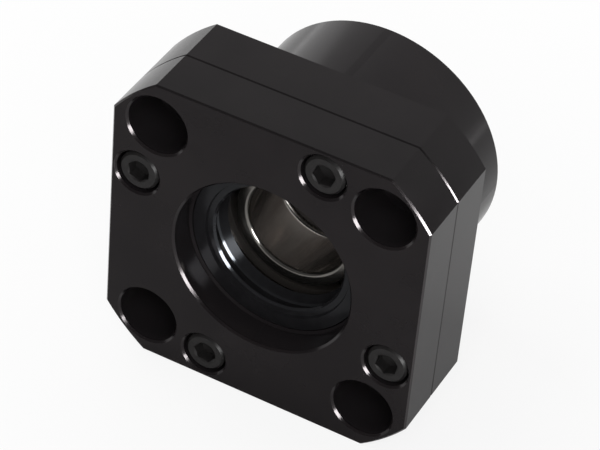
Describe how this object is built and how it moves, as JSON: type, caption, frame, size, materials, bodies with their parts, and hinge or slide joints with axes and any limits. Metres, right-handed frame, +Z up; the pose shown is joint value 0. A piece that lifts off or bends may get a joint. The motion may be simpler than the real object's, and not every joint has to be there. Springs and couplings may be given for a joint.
{
  "type": "ball screw end support",
  "caption": "Fixed-side end support for a ball screw: square flange with a bolted cover, round locating spigot and angular contact bearings on a through bore.",
  "frame": {"origin": "on the shaft axis, in the plane of the flange's mounting face", "axes": "+Y along the shaft axis from the cover towards the locating spigot, +Z up, square to the top and bottom flats of the flange"},
  "size_m": [0.079, 0.06, 0.079],
  "materials": {
    "blackened_steel": "ground, black oxide",
    "screw_steel": "black oxide, satin",
    "bearing_steel": "ground and honed",
    "collar_steel": "ground",
    "seal_rubber": "moulded, oiled",
    "case_steel": "pressed sheet",
    "spring_steel": "drawn wire",
    "cage_plastic": "moulded glass-filled polyamide"
  },
  "bodies": {
    "frame": {"housing": "blackened_steel", "cover_plate": "blackened_steel", "cover_screws": "screw_steel", "front_seal": "seal_rubber", "front_seal_case": "case_steel", "front_seal_spring": "spring_steel", "rear_seal": "seal_rubber", "rear_seal_case": "case_steel", "rear_seal_spring": "spring_steel", "front_outer_ring": "bearing_steel", "rear_outer_ring": "bearing_steel"},
    "rotor": {"front_inner_ring": "bearing_steel", "rear_inner_ring": "bearing_steel", "rear_collar": "collar_steel"},
    "front_ball_set": {"front_cage": "cage_plastic", "front_balls": "bearing_steel"},
    "rear_ball_set": {"rear_cage": "cage_plastic", "rear_balls": "bearing_steel"}
  },
  "joints": [
    {"name": "rotor_spin", "type": "hinge", "parent": "frame", "child": "rotor", "pos_m": [0, 0, 0], "axis": [0, 1, 0], "continuous": true},
    {"name": "front_ball_set_spin", "type": "hinge", "parent": "frame", "child": "front_ball_set", "pos_m": [0, 0, 0], "axis": [0, 1, 0], "continuous": true},
    {"name": "rear_ball_set_spin", "type": "hinge", "parent": "frame", "child": "rear_ball_set", "pos_m": [0, 0, 0], "axis": [0, 1, 0], "continuous": true}
  ],
  "couplings": [
    {"joint": "front_ball_set_spin", "follows": "rotor_spin", "ratio": 0.4107},
    {"joint": "rear_ball_set_spin", "follows": "rotor_spin", "ratio": 0.4107}
  ]
}
